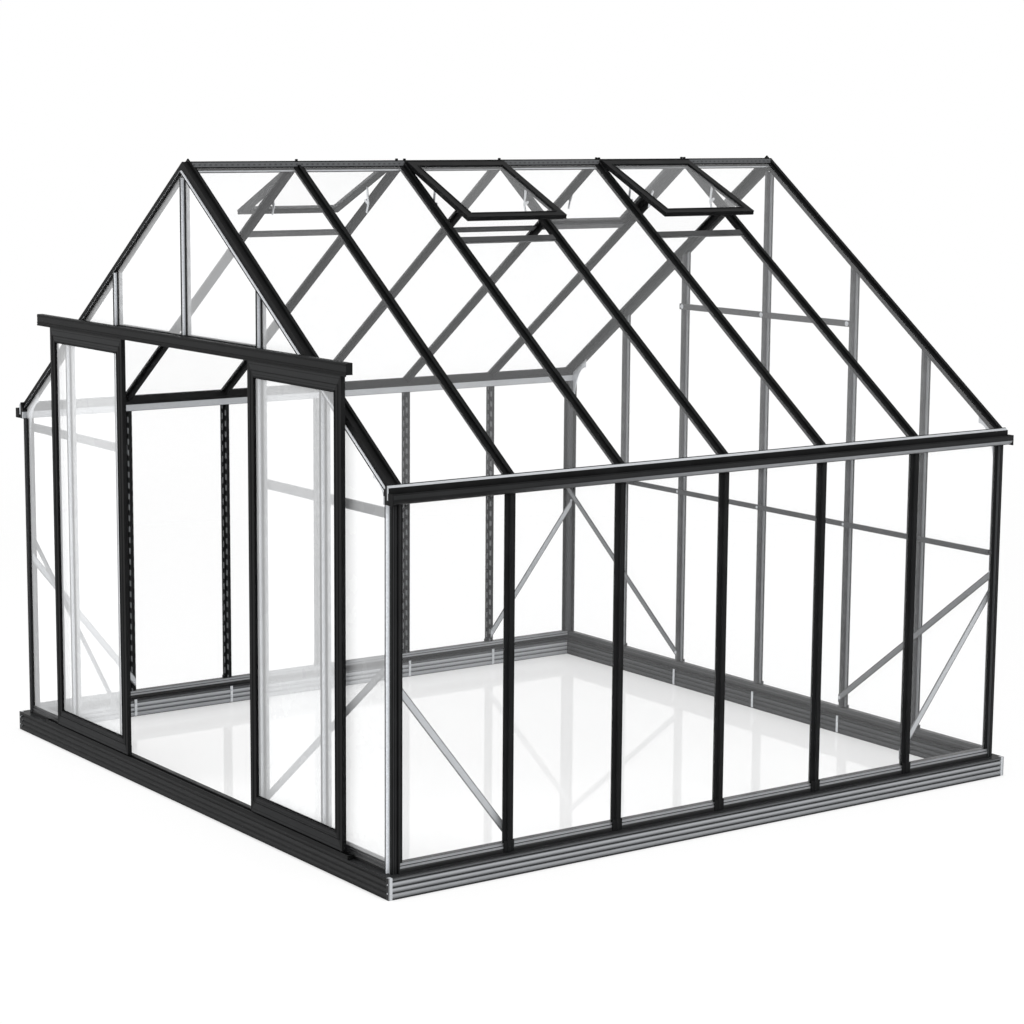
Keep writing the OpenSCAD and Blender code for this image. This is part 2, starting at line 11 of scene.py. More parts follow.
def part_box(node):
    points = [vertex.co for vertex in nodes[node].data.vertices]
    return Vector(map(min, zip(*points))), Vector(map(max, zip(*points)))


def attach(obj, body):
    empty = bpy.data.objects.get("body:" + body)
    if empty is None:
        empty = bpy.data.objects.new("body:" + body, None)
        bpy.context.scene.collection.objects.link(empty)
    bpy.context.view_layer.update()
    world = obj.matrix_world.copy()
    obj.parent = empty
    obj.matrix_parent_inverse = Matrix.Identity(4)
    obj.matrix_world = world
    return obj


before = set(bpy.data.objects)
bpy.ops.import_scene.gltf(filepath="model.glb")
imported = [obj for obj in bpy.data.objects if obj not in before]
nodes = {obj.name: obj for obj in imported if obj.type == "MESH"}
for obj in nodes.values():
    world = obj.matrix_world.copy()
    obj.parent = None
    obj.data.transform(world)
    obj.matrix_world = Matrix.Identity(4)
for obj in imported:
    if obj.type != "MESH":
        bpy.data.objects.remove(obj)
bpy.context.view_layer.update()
scene = bpy.context.scene

# Places of the frame, in metres, as the CAD nodes have them
HALF_W = 1.84
HALF_L = 1.86
BAY = 0.62
BAR_YS = [BAY * i for i in range(-2, 3)]
JAMB_X = 0.72
OUTER_X = 1.28
BASE_H = 0.1
BASE_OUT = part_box("base_right")[1].x - HALF_W
BASE_IN = 0.044
EAVE_Z = 1.742
PITCH = math.radians(36)
FIN = 0.018
APEX_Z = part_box("front_rafters")[1].z - FIN / math.cos(PITCH)
STEM = 0.030
PANE_HALF = 0.002
FLANGE = 0.006
LEAF_OUT = -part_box("door_right_frame")[0].y - HALF_L
LEAF_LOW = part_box("door_right_frame")[0].z
LEAF_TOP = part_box("door_right_frame")[1].z
STILE = 0.058
LEAF_TOP_RAIL = 0.075
LEAF_BOTTOM_RAIL = 0.080
VENT_START = 0.044
VENT_LENGTH = 0.604
VENT_RAIL = 0.042
VENT_THICK = 0.024
VENT_HALF = 0.300
VENT_ANGLE = math.radians(11)
# Slope, middle along the ridge and opening angle of each vent
VENTS = [(1, -0.31, VENT_ANGLE), (1, 0.93, VENT_ANGLE), (-1, -0.93, VENT_ANGLE), (-1, 0.93, 0.0)]
# Upper and lower end of a brace: place along its wall, then height
SIDE_BRACE = [(1.85, 0.975), (1.232, 0.195)]
GABLE_BRACE = [(1.83, 1.070), (0.712, 0.195)]


# ---- shader graphs ----


class Wire:
    """One socket of a material's graph. Arithmetic on it adds Math nodes."""

    def __init__(self, paint, socket):
        self.paint = paint
        self.socket = socket

    def maths(self, operation, *terms):
        inputs = dict(enumerate(terms))
        return self.paint.node("ShaderNodeMath", {"operation": operation}, inputs)

    def __add__(self, other):
        return self.maths("ADD", self, other)

    def __radd__(self, other):
        return self.maths("ADD", other, self)

    def __sub__(self, other):
        return self.maths("SUBTRACT", self, other)

    def __rsub__(self, other):
        return self.maths("SUBTRACT", other, self)

    def __mul__(self, other):
        return self.maths("MULTIPLY", self, other)

    def __rmul__(self, other):
        return self.maths("MULTIPLY", other, self)

    def __truediv__(self, other):
        return self.maths("DIVIDE", self, other)

    def __gt__(self, other):
        return self.maths("GREATER_THAN", self, other)

    def __lt__(self, other):
        return self.maths("LESS_THAN", self, other)

    def __abs__(self):
        return self.maths("ABSOLUTE", self)


class Paint:
    """A material, or the world, whose nodes are added one call at a time."""

    def __init__(self, name, owner=None):
        self.owner = owner or bpy.data.materials.new(name)
        self.owner.use_nodes = True
        self.tree = self.owner.node_tree
        self.tree.nodes.clear()

    def node(self, kind, settings=None, inputs=None, out=0):
        made = self.tree.nodes.new(kind)
        for key, value in (settings or {}).items():
            if key == "stops":
                while len(made.color_ramp.elements) < len(value):
                    made.color_ramp.elements.new(1)
                for element, (place, colour) in zip(made.color_ramp.elements, value):
                    element.position = place
                    element.color = colour
            elif key == "interpolation" and kind == "ShaderNodeValToRGB":
                made.color_ramp.interpolation = value
            else:
                setattr(made, key, value)
        for key, value in (inputs or {}).items():
            if isinstance(value, Wire):
                self.tree.links.new(value.socket, made.inputs[key])
            else:
                made.inputs[key].default_value = value
        return Wire(self, made.outputs[out]) if made.outputs else None

    def coords(self):
        return self.node("ShaderNodeTexCoord", out="Object")

    def axes(self):
        split = self.node("ShaderNodeSeparateXYZ", inputs={0: self.coords()})
        return [Wire(self, split.socket.node.outputs[i]) for i in range(3)]

    def noise(self, scale, detail=3, rough=0.55, stretch=(1, 1, 1)):
        spread = self.node(
            "ShaderNodeMapping", inputs={"Vector": self.coords(), "Scale": stretch}
        )
        return self.node(
            "ShaderNodeTexNoise",
            inputs={"Vector": spread, "Scale": scale, "Detail": detail, "Roughness": rough},
        )

    def ramp(self, value, low, high, out_low=0.0, out_high=1.0):
        return self.node(
            "ShaderNodeMapRange",
            {"interpolation_type": "SMOOTHSTEP"},
            {0: value, 1: low, 2: high, 3: out_low, 4: out_high},
        )

    def band(self, value, low, high, soft=0.0005):
        """1 between low and high, with soft edges."""
        return self.ramp(value, low - soft, low + soft) * self.ramp(
            value, high - soft, high + soft, 1.0, 0.0
        )

    def blend(self, factor, first, second):
        return self.node(
            "ShaderNodeMix", {"data_type": "RGBA"}, {0: factor, 6: first, 7: second}, out=2
        )

    def surface(self, colour, rough, bumps=(), **constants):
        """Principled surface with bumps as (height, strength, distance)."""
        normal = None
        for height, strength, distance in bumps:
            inputs = {"Height": height, "Strength": strength, "Distance": distance}
            if normal:
                inputs["Normal"] = normal
            normal = self.node("ShaderNodeBump", inputs=inputs)
        inputs = {"Base Color": colour, "Roughness": rough}
        inputs.update({key.replace("_", " "): value for key, value in constants.items()})
        if normal:
            inputs["Normal"] = normal
        return self.node("ShaderNodeBsdfPrincipled", inputs=inputs)

    def finish(self, shader, kind="ShaderNodeOutputMaterial"):
        self.node(kind, inputs={"Surface": shader})
        return self.owner


def grey(value, tint=(1.0, 1.0, 1.0)):
    return (value * tint[0], value * tint[1], value * tint[2], 1.0)


COOL = (0.97, 1.0, 1.04)


def coat_surface(paint, colour, rough=0.5, level=0.05):
    """Fine-grained powder coat over the colour."""
    grain = paint.noise(900, detail=2)
    peel = paint.noise(240, detail=2)
    worn = paint.noise(7, detail=4)
    tone = paint.blend(paint.ramp(worn, 0.35, 0.75, 0.0, 0.1), colour, grey(0.05, COOL))
    shaded = paint.blend(paint.ramp(grain, 0.3, 0.7, 0.0, 0.25), tone, grey(0.001))
    gloss = paint.ramp(worn, 0.3, 0.8, rough - 0.05, rough + 0.08)
    return paint.surface(
        shaded,
        gloss,
        [(peel, 0.25, 0.0006), (grain, 0.3, 0.0002)],
        Specular_IOR_Level=level,
    )


def black_coat(name, dark=0.006, rough=0.5, level=0.05):
    paint = Paint(name)
    return paint.finish(coat_surface(paint, grey(dark, COOL), rough, level))


def satin_metal(name, tone, rough=0.36, metallic=0.55, run=(1, 1, 1)):
    """Mill-finished aluminium with drawn lines along it; run stretches them."""
    paint = Paint(name)
    drawn = paint.noise(420, detail=3, stretch=run)
    cloud = paint.noise(5, detail=4)
    colour = paint.blend(
        paint.ramp(drawn, 0.3, 0.7), grey(tone * 0.82, COOL), grey(tone * 1.12, COOL)
    )
    colour = paint.blend(paint.ramp(cloud, 0.35, 0.8, 0, 0.15), colour, grey(tone * 0.6))
    return paint.finish(
        paint.surface(
            colour,
            paint.ramp(cloud, 0.3, 0.75, rough - 0.06, rough + 0.1),
            [(drawn, 0.2, 0.0003)],
            Metallic=metallic,
        )
    )


# ---- metal finishes ----


def edge_line(paint, axis, places, half):
    """1 within half of any of the places along an axis."""
    total = None
    for place in places:
        line = paint.band(axis, place - half, place + half, half * 0.4)
        total = line if total is None else total + line
    return total


def from_bars(paint, along):
    """Distance along a wall from the nearest glazing bar, with its sign."""
    return paint.node(
        "ShaderNodeMath", {"operation": "WRAP"}, {0: along, 1: BAY / 2, 2: -BAY / 2}
    )


def from_posts(paint, across):
    """Distance across a gable from the nearest post."""
    nearest = None
    for place in (0.0, JAMB_X, OUTER_X):
        gap = abs(abs(across) - place)
        nearest = gap if nearest is None else paint.node(
            "ShaderNodeMath", {"operation": "MINIMUM"}, {0: nearest, 1: gap}
        )
    return nearest


def dashes(paint, along, length, period):
    """1 on a dash and 0 between dashes."""
    place = paint.node("ShaderNodeMath", {"operation": "WRAP"}, {0: along, 1: period, 2: 0.0})
    return paint.band(place, 0.004, length, 0.0015)


def wall_bar_paint(name, slotted):
    """Black bars with slots along the stem, seen from inside the house."""
    paint = Paint(name)
    x, y, z = paint.axes()
    off = from_bars(paint, y)
    side = paint.band(abs(off), 0.0070, 0.0090) * paint.band(abs(x), 1.812, 1.832)
    rim = paint.band(abs(off), 0.0180, 0.0250) * (abs(x) < 1.8365)
    slot = dashes(paint, z, 0.036, 0.062)
    mark = (side * slot + rim * dashes(paint, z + 0.021, 0.040, 0.062)) * slotted
    lip = paint.band(abs(off), 0.0050, 0.0065)
    colour = paint.blend(lip, grey(0.008, COOL), grey(0.020, COOL))
    colour = paint.blend(mark, colour, grey(0.17, COOL))
    return paint.finish(coat_surface(paint, colour))


def back_post_paint(name):
    """Posts of the back gable, black outside; inside, the stems are painted grey and the flanges
    pale, as painted light on the lit inner faces.
    """
    paint = Paint(name)
    x, y, z = paint.axes()
    inside = y < HALF_L + 0.001
    nearest = from_posts(paint, x)
    flange = paint.ramp(nearest, 0.0082, 0.0095)
    cloud = paint.noise(16, detail=4)
    # Painted light: the inner stem grey and the pale flange strip stand in for light falling on
    # the inner faces.
    stem = paint.blend(paint.ramp(cloud, 0.35, 0.7), grey(0.035, COOL), grey(0.07, COOL))
    lit = paint.blend(flange, stem, grey(0.30, COOL))
    colour = paint.blend(inside, grey(0.009, COOL), lit)
    return paint.finish(coat_surface(paint, colour, 0.42, 0.3))


def front_post_paint(name):
    """Jamb and outer posts of the door gable: dark faces and slots inside, with pale flanks, a
    pale flange line and a pale shelf painted as highlights where light falls.
    """
    paint = Paint(name)
    x, y, z = paint.axes()
    nearest = from_posts(paint, x)
    inside = y > -HALF_L - 0.001
    # Painted highlight: the pale flank strip stands in for light on the rebate side of the post.
    flank = paint.band(nearest, 0.0060, 0.0090) * inside
    pale = paint.blend(
        dashes(paint, z, 0.046, 0.090) * 0.5, grey(0.30, COOL), grey(0.10, COOL)
    )
    colour = paint.blend(flank, grey(0.010, COOL), pale)
    # Painted highlight: a thin pale line along the flange edge.
    flange = paint.band(nearest, 0.0260, 0.0290) * inside
    colour = paint.blend(flange, colour, grey(0.20, COOL))
    # Painted highlight: the lit side face of the fin, painted pale on the outer face.
    shelf = paint.band(nearest, 0.0062, 0.0160) * (y < -HALF_L - 0.0055) * (
        y > -HALF_L - 0.0070
    )
    colour = paint.blend(shelf, colour, grey(0.50, COOL))
    return paint.finish(coat_surface(paint, colour))


def corner_post_paint(name):
    """Corner posts: black with paler grooves on each outer face, and a pale strip in front that is
    a painted highlight standing in for the lit side of the fin.
    """
    paint = Paint(name)
    x, y, z = paint.axes()
    across = abs(x) - HALF_W
    along = abs(y) - HALF_L
    outer_x = across > -0.029
    grooves = edge_line(paint, along, (-0.016, -0.004, 0.014), 0.0022) * outer_x
    grooves = grooves + edge_line(paint, across, (-0.016, -0.004, 0.014), 0.0022) * (
        along > -0.029
    )
    inside = paint.band(across, -0.0320, -0.0290) + paint.band(along, -0.0320, -0.0290)
    colour = paint.blend(grooves, grey(0.008, COOL), grey(0.030, COOL))
    colour = paint.blend(
        paint.node("ShaderNodeMath", {"operation": "ADD", "use_clamp": True}, {0: inside, 1: 0.0}),
        colour,
        grey(0.075, COOL),
    )
    # Painted highlight: the lit side face beside the fin, painted pale on the front face.
    lit_fin_side = paint.band(across, -0.0240, -0.0120, 0.0003) * (y < -HALF_L - FLANGE + 0.0005)
    colour = paint.blend(lit_fin_side, colour, grey(0.70, COOL))
    return paint.finish(coat_surface(paint, colour, 0.5, 0.06))


def eave_paint(name):
    """Eave beam: upper and inner faces painted pale as lit, dark gutter lip, and a painted sheen
    low on the gutter that fades towards the front end.
    """
    paint = Paint(name)
    x, y, z = paint.axes()
    out = abs(x) - HALF_W
    rise = z - EAVE_Z
    drawn = paint.noise(300, detail=2, stretch=(1, 0.15, 1))
    pale = paint.blend(drawn, grey(0.44, COOL), grey(0.54, COOL))
    # Painted light: the upper face painted pale as lit from above.
    top = paint.band(out, 0.0000, 0.0120) * (rise > 0.020)
    colour = paint.blend(top, grey(0.006, COOL), pale)
    # Painted sheen: a pale reflection low on the gutter, fading towards the front end.
    low = paint.band(rise, 0.0060, 0.0240, 0.0020) * (out > 0.030)
    sheen = low * paint.ramp(y, -1.5, 0.2, 0.0, 1.0)
    colour = paint.blend(sheen, colour, grey(0.27, COOL))
    front = paint.band(rise, 0.0280, 0.0460, 0.0020) * (out > 0.044)
    colour = paint.blend(front, colour, grey(0.016, COOL))
    # Painted light: the inner face painted pale as lit.
    inner = paint.band(rise, 0.0020, 0.0360, 0.0010) * (out < -0.020)
    colour = paint.blend(inner, colour, pale)
    return paint.finish(coat_surface(paint, colour, 0.45, 0.08))


def ribbed_paint(name, outside, inside, lip):
    """Base rail in bands of painted light and shade from the ground up, outside and inside: pale
    bands for lit rib faces, dark bands for shaded ones.
    """
    paint = Paint(name)
    x, y, z = paint.axes()
    within = paint.node(
        "ShaderNodeMath", {"operation": "MULTIPLY"}, {0: abs(x) < HALF_W, 1: abs(y) < HALF_L}
    )
    height = z / BASE_H
    bands = []
    # Each set of stops paints light and shade by height, one set for the outer faces and one for
    # the inner faces.
    for shade_tones in (outside, inside):
        stops = [(place, grey(tone, COOL)) for place, tone in shade_tones]
        bands.append(
            paint.node(
                "ShaderNodeValToRGB",
                {"interpolation": "LINEAR", "stops": stops},
                {0: height},
            )
        )
    colour = paint.blend(within, *bands)
    upward = paint.node("ShaderNodeNewGeometry", out="Normal")
    tilt = paint.node("ShaderNodeSeparateXYZ", inputs={0: upward}, out=2)
    colour = paint.blend(paint.ramp(tilt, 0.9, 0.98), colour, grey(lip, COOL))
    drawn = paint.noise(260, detail=3, stretch=(0.03, 0.03, 1))
    cloud = paint.noise(6, detail=4)
    colour = paint.blend(paint.ramp(cloud, 0.4, 0.8, 0.0, 0.08), colour, grey(0.02, COOL))
    return paint.finish(
        paint.surface(
            colour,
            paint.ramp(drawn, 0.3, 0.7, 0.34, 0.48),
            [(drawn, 0.25, 0.0004)],
            Specular_IOR_Level=0.08,
        )
    )


def sill_paint(name, pale):
    """Sill rail with drawn faces between black lips, painted pale as highlights where the stepped
    top catches the light.
    """
    paint = Paint(name)
    x, y, z = paint.axes()
    rise = z - BASE_H
    # Painted highlight: the stepped faces painted pale as catching the light.
    step = paint.band(rise, 0.0200, 0.0440, 0.0008) - paint.band(rise, 0.0300, 0.0335, 0.0005)
    drawn = paint.noise(260, detail=2, stretch=(0.15, 0.15, 1))
    tone = paint.blend(drawn, grey(pale * 0.9, COOL), grey(pale * 1.1, COOL))
    colour = paint.blend(step, grey(0.010, COOL), tone)
    return paint.finish(coat_surface(paint, colour, 0.38, 0.3))


def corner_piece_paint(name):
    """Corner piece of the base: painted dark as shaded across the gables and pale as lit along the
    walls.
    """
    paint = Paint(name)
    x, y, z = paint.axes()
    # Painted light: the wall faces painted pale as lit, the gable faces dark as shaded.
    gable_face = abs(y) > HALF_L + BASE_OUT - 0.0006
    gap = paint.band(abs(y) - HALF_L - BASE_OUT, -0.0045, -0.0020, 0.0003)
    drawn = paint.noise(420, detail=3, stretch=(1, 1, 0.3))
    pale = paint.blend(drawn, grey(0.46, COOL), grey(0.62, COOL))
    colour = paint.blend(gap, pale, grey(0.02, COOL))
    colour = paint.blend(gable_face, colour, grey(0.006, COOL))
    return paint.finish(coat_surface(paint, colour, 0.42, 0.2))


def brace_paint(name, along_y, high, low, tone):
    """Flat brace between two points, pale along its middle and darker at its edges."""
    paint = Paint(name)
    x, y, z = paint.axes()
    run = abs(y) if along_y else abs(x)
    span = math.hypot(high[0] - low[0], high[1] - low[1])
    normal = ((high[1] - low[1]) / span, (low[0] - high[0]) / span)
    off = abs((run - high[0]) * normal[0] + (z - high[1]) * normal[1])
    edge = paint.ramp(off, 0.0115, 0.0135)
    drawn = paint.noise(180, detail=3, stretch=(1, 1, 1))
    pale = paint.blend(drawn, grey(tone * 0.75, COOL), grey(tone * 1.2, COOL))
    colour = paint.blend(edge, pale, grey(tone * 0.3, COOL))
    return paint.finish(
        paint.surface(
            colour, paint.ramp(drawn, 0.3, 0.7, 0.34, 0.46), [(edge, 0.5, 0.001)], Metallic=0.25
        )
    )


def ridge_paint(name):
    """Ridge beam: grey, faintly slotted side above a black band, with a pale lip below that is a
    painted highlight.
    """
    paint = Paint(name)
    x, y, z = paint.axes()
    side = paint.band(z, APEX_Z - 0.018, APEX_Z + 0.0035, 0.0008)
    dots = dashes(paint, y, 0.016, 0.030) * paint.band(z, APEX_Z - 0.012, APEX_Z - 0.004)
    slotted = paint.blend(dots * 0.6, grey(0.11, COOL), grey(0.03, COOL))
    vented = paint.band(y, -0.62, 0.0, 0.004) + paint.band(y, 0.62, 1.24, 0.004)
    colour = paint.blend(side * (1 - vented), grey(0.006, COOL), slotted)
    # Painted highlight: a thin pale line below the ridge where light catches the lip.
    lip = paint.band(z, APEX_Z - 0.043, APEX_Z - 0.036, 0.0006) * (abs(x) > 0.004)
    colour = paint.blend(lip, colour, grey(0.50, COOL))
    return paint.finish(coat_surface(paint, colour))


def door_paint(name, body_x0, body_x1):
    """Door leaf: near-black stiles, and paler rails that meet them at mitres."""
    paint = Paint(name)
    x, y, z = paint.axes()
    left = x - body_x0
    right = body_x1 - x
    side = paint.node("ShaderNodeMath", {"operation": "MINIMUM"}, {0: left, 1: right})
    down = LEAF_TOP - z
    up = z - LEAF_LOW
    end = paint.node("ShaderNodeMath", {"operation": "MINIMUM"}, {0: down, 1: up})
    rail = (side * 1.30 - end) > 0.0
    mitre = paint.band(abs(side * 1.30 - end), -1.0, 0.0016, 0.0006) * (end < 0.076)
    grain = paint.noise(500, detail=3, stretch=(0.1, 1, 1))
    pale = paint.blend(grain, grey(0.014, COOL), grey(0.026, COOL))
    colour = paint.blend(rail * (end < 0.082), grey(0.007, COOL), pale)
    outline = edge_line(paint, side, (0.012, 0.045), 0.0012) * (1 - rail)
    outline = outline + edge_line(paint, end, (0.014, 0.058), 0.0012) * rail
    dark = paint.node(
        "ShaderNodeMath", {"operation": "ADD", "use_clamp": True}, {0: outline, 1: mitre}
    )
    front = y < -HALF_L - LEAF_OUT + 0.001
    colour = paint.blend(dark * front, colour, grey(0.002))
    return paint.finish(coat_surface(paint, colour, 0.5, 0.06))


def track_paint(name):
    """Door track and guide: black with drawn ridges along their face."""
    paint = Paint(name)
    x, y, z = paint.axes()
    low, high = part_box("door_track")
    lines = edge_line(paint, z, (low.z + 0.012, high.z - 0.010), 0.0016)
    guide_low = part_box("door_guide")[0].z
    lines = lines + edge_line(paint, z, (guide_low + 0.006, guide_low + 0.016), 0.0012)
    grain = paint.noise(420, detail=3, stretch=(0.05, 1, 1))
    tone = paint.blend(grain, grey(0.007, COOL), grey(0.014, COOL))
    colour = paint.blend(lines, tone, grey(0.003))
    return paint.finish(coat_surface(paint, colour, 0.5, 0.06))


# ---- panes ----


def pane_paint(name, film, gloss):
    """Clear sheet: its near face carries a pale film and a reflection that grows at a
    glancing angle, and the face turned away from the viewer adds nothing."""
    paint = Paint(name)
    glance = paint.node("ShaderNodeFresnel", inputs={"IOR": 1.49})
    facing = paint.node("ShaderNodeNewGeometry", out="Backfacing")
    dust = paint.noise(3.5, detail=5, rough=0.6)
    cover = film * paint.ramp(dust, 0.3, 0.75, 0.95, 1.05) + glance * gloss
    alpha = paint.node(
        "ShaderNodeMath",
        {"operation": "MULTIPLY", "use_clamp": True},
        {0: cover, 1: 1 - facing},
    )
    ripple = paint.noise(14, detail=2)
    shader = paint.surface(
        paint.blend(dust, (0.95, 0.96, 0.97, 1), (0.98, 0.99, 1.0, 1)),
        paint.ramp(dust, 0.3, 0.8, 0.22, 0.34),
        [(ripple, 0.02, 0.002)],
        Alpha=alpha,
        Specular_IOR_Level=0.4,
    )
    return paint.finish(shader)


def dress(material, *names):
    """Gives CAD nodes a material."""
    for name in names:
        mesh = nodes[name].data
        mesh.materials.clear()
        mesh.materials.append(material)


coat = black_coat("powder_coat")
pale_metal = satin_metal("pale_satin", 0.42)

# Painted light and shade of the base rails by height: pale bands on the side rails are painted
# highlights on the upward ribs, the gable rails are painted dark as shaded, and the inner faces
# are painted lighter as lit through the panes.
SIDE_BANDS = [
    (0.00, 0.02), (0.06, 0.02), (0.08, 0.11), (0.22, 0.36), (0.26, 0.03), (0.31, 0.02),
    (0.36, 0.11), (0.47, 0.40), (0.52, 0.03), (0.57, 0.02), (0.62, 0.11), (0.73, 0.40),
    (0.78, 0.03), (0.84, 0.03), (0.90, 0.12), (0.97, 0.04),
]
FRONT_BANDS = [
    (0.00, 0.003), (0.07, 0.006), (0.24, 0.018), (0.28, 0.003), (0.34, 0.007), (0.48, 0.018),
    (0.54, 0.003), (0.60, 0.007), (0.74, 0.020), (0.80, 0.003), (0.90, 0.008), (0.98, 0.012),
]
LEFT_INNER_BANDS = [
    (0.00, 0.05), (0.06, 0.30), (0.20, 0.36), (0.25, 0.05), (0.31, 0.25), (0.46, 0.40),
    (0.50, 0.06), (0.56, 0.26), (0.72, 0.42), (0.76, 0.05), (0.82, 0.16), (0.92, 0.03),
]
BACK_INNER_BANDS = [
    (0.00, 0.02), (0.10, 0.045), (0.22, 0.065), (0.26, 0.012), (0.34, 0.04), (0.48, 0.065),
    (0.52, 0.012), (0.60, 0.045), (0.74, 0.070), (0.78, 0.012), (0.88, 0.03), (0.96, 0.015),
]
dress(ribbed_paint("side_base", SIDE_BANDS, LEFT_INNER_BANDS, 0.02), "base_left", "base_right")
dress(ribbed_paint("gable_base", FRONT_BANDS, BACK_INNER_BANDS, 0.02), "base_front", "base_back")
dress(corner_piece_paint("corner_metal"), "base_corners")
dress(satin_metal("clip_metal", 0.60, 0.3, 0.4), "base_clips", "corner_gussets", "vent_stays")
# Painted light: the side sills get pale highlights as lit, the gable sills nearly none as shaded.
dress(sill_paint("side_sill", 0.30), "sill_left", "sill_right")
dress(sill_paint("gable_sill", 0.05), "sill_front", "sill_back")
dress(corner_post_paint("corner_coat"), "corner_posts")
dress(wall_bar_paint("left_bar_coat", 1.0), "left_wall_bars")
dress(wall_bar_paint("right_bar_coat", 0.12), "right_wall_bars")
dress(back_post_paint("back_post_coat"), "back_gable_posts")
dress(front_post_paint("front_post_coat"), "front_gable_posts")
dress(black_coat("rail_coat", 0.055, 0.4, 0.15), "front_cross_rails", "back_mid_rail")
dress(black_coat("high_rail_coat", 0.045, 0.4, 0.3), "back_high_rail")
# Painted light: the gable braces get a much darker tone than the side braces, as shaded; both are
# the same steel.
dress(
    brace_paint("side_brace_metal", True, *SIDE_BRACE, 0.42), "side_braces"
)
dress(
    brace_paint("gable_brace_metal", False, *GABLE_BRACE, 0.16),
    "gable_braces",
)
dress(eave_paint("eave_coat"), "left_eave_beam", "right_eave_beam")
dress(ridge_paint("ridge_coat"), "ridge_beam")
dress(coat, "gutter_ends", "door_head", "front_rafters", "back_rafters")
dress(coat, "left_roof_bars", "right_roof_bars", "right_vent_frames", "left_vent_frames")
dress(black_coat("vent_sill_coat", 0.035, 0.42, 0.3), "vent_sills")
# Painted light: the front trim strips are near white and the back ones mid grey, standing in for
# light on the strips; both are the same aluminium.
dress(satin_metal("strip_metal", 0.9, 0.4, 0.0, (1, 1, 0.3)), "front_trim_strips")
dress(satin_metal("back_strip_metal", 0.40, 0.4, 0.2, (1, 1, 0.05)), "back_trim_strips")
dress(track_paint("track_coat"), "door_track", "door_guide")
for side in ("left", "right"):
    corner_low, corner_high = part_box(f"door_{side}_frame")
    dress(
        door_paint(f"door_{side}_coat", corner_low.x, corner_high.x), f"door_{side}_frame"
    )
dress(pale_metal, "door_left_hangers", "door_right_hangers")
clear = pane_paint("clear_pane", 0.005, 1.0)
hazy = pane_paint("hazy_pane", 0.22, 0.9)
dress(clear, "left_wall_panes", "right_wall_panes", "back_gable_panes")
dress(clear, "left_roof_panes", "right_roof_panes", "vent_panes")
dress(hazy, "front_gable_panes", "door_left_pane", "door_right_pane")


# ---- small fittings ----


def new_piece(name, bm, material, body="house"):
    """Links the mesh as a piece that rides on a body."""
    bmesh.ops.recalc_face_normals(bm, faces=bm.faces)
    mesh = bpy.data.meshes.new(name)
    bm.to_mesh(mesh)
    bm.free()
    mesh.materials.append(material)
    piece = bpy.data.objects.new(name, mesh)
    scene.collection.objects.link(piece)
    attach(piece, body)


def add_bar(bm, low, high, ease=0.0008, place=None):
    """Straight bar between two corners, its long edges eased; place moves it afterwards."""
    size = Vector(high) - Vector(low)
    grid = bmesh.ops.create_grid(bm, x_segments=1, y_segments=1, size=0.5)["verts"]
    bmesh.ops.scale(bm, vec=(size.x, size.y, 1), verts=grid)
    bmesh.ops.translate(bm, vec=(Vector(high) + Vector(low)) / 2 - Vector((0, 0, size.z / 2)),
                        verts=grid)
    raised = bmesh.ops.extrude_face_region(
        bm, geom=[grid[0].link_faces[0]], use_keep_orig=True
    )["geom"]
    tops = [part for part in raised if isinstance(part, bmesh.types.BMVert)]
    bmesh.ops.translate(bm, vec=(0, 0, size.z), verts=tops)
    edges = list({edge for vert in grid + tops for edge in vert.link_edges})
    eased = bmesh.ops.bevel(
        bm, geom=edges, offset=ease, segments=1, affect="EDGES", profile=0.5, material=-1
    )
    if place:
        verts = {vert for face in eased["faces"] for vert in face.verts}
        bmesh.ops.transform(bm, matrix=place, verts=list(verts))


def add_bolt(bm, spot, facing, radius=0.0055, height=0.004):
    """Hexagon head on a round washer, standing out from a spot."""
    turn = Vector((0, 0, 1)).rotation_difference(Vector(facing)).to_matrix().to_4x4()
    made = []
    for sides, width, low, high in (
        (14, radius * 1.4, 0.0, height * 0.25), (6, radius, height * 0.25, height)
    ):
        ring = bmesh.ops.create_circle(bm, cap_ends=True, segments=sides, radius=width)["verts"]
        bmesh.ops.translate(bm, vec=(0, 0, low), verts=ring)
        raised = bmesh.ops.extrude_face_region(
            bm, geom=[ring[0].link_faces[0]], use_keep_orig=True
        )["geom"]
        tops = [part for part in raised if isinstance(part, bmesh.types.BMVert)]
        bmesh.ops.translate(bm, vec=(0, 0, high - low), verts=tops)
        bmesh.ops.scale(bm, vec=(0.9, 0.9, 1), verts=tops)
        made += ring + tops
    bmesh.ops.transform(bm, matrix=Matrix.Translation(spot) @ turn, verts=made)


def make_wall_bolts(metal):
    """Bolts of the braces, base clips, corner pieces and bar feet."""
    bm = bmesh.new()
    brace_face = STEM + 0.005
    clip_face = BASE_IN + 0.003
    for sx in (-1, 1):
        for sy in (-1, 1):
            for along, high in ((HALF_L - 0.016, 0.984), (HALF_L - BAY, 0.200)):
                add_bolt(bm, (sx * (HALF_W - brace_face), sy * along, high), (-sx, 0, 0), 0.0065)
            for across, high in ((HALF_W - 0.016, 1.078), (JAMB_X, 0.200)):
                add_bolt(bm, (sx * across, sy * (HALF_L - brace_face), high), (0, -sy, 0), 0.0065)
            for high in (0.030, 0.070):
                edge = BASE_OUT - 0.010
                add_bolt(bm, (sx * (HALF_W + BASE_OUT), sy * (HALF_L + edge), high),
                         (sx, 0, 0), 0.0026, 0.0015)
                add_bolt(bm, (sx * (HALF_W + edge), sy * (HALF_L + BASE_OUT), high),
                         (0, sy, 0), 0.0026, 0.0015)
        for along in BAR_YS:
            for high in (0.034, 0.074):
                add_bolt(bm, (sx * (HALF_W - clip_face), along, high), (-sx, 0, 0), 0.0045)
    new_piece("wall_bolts", bm, metal)


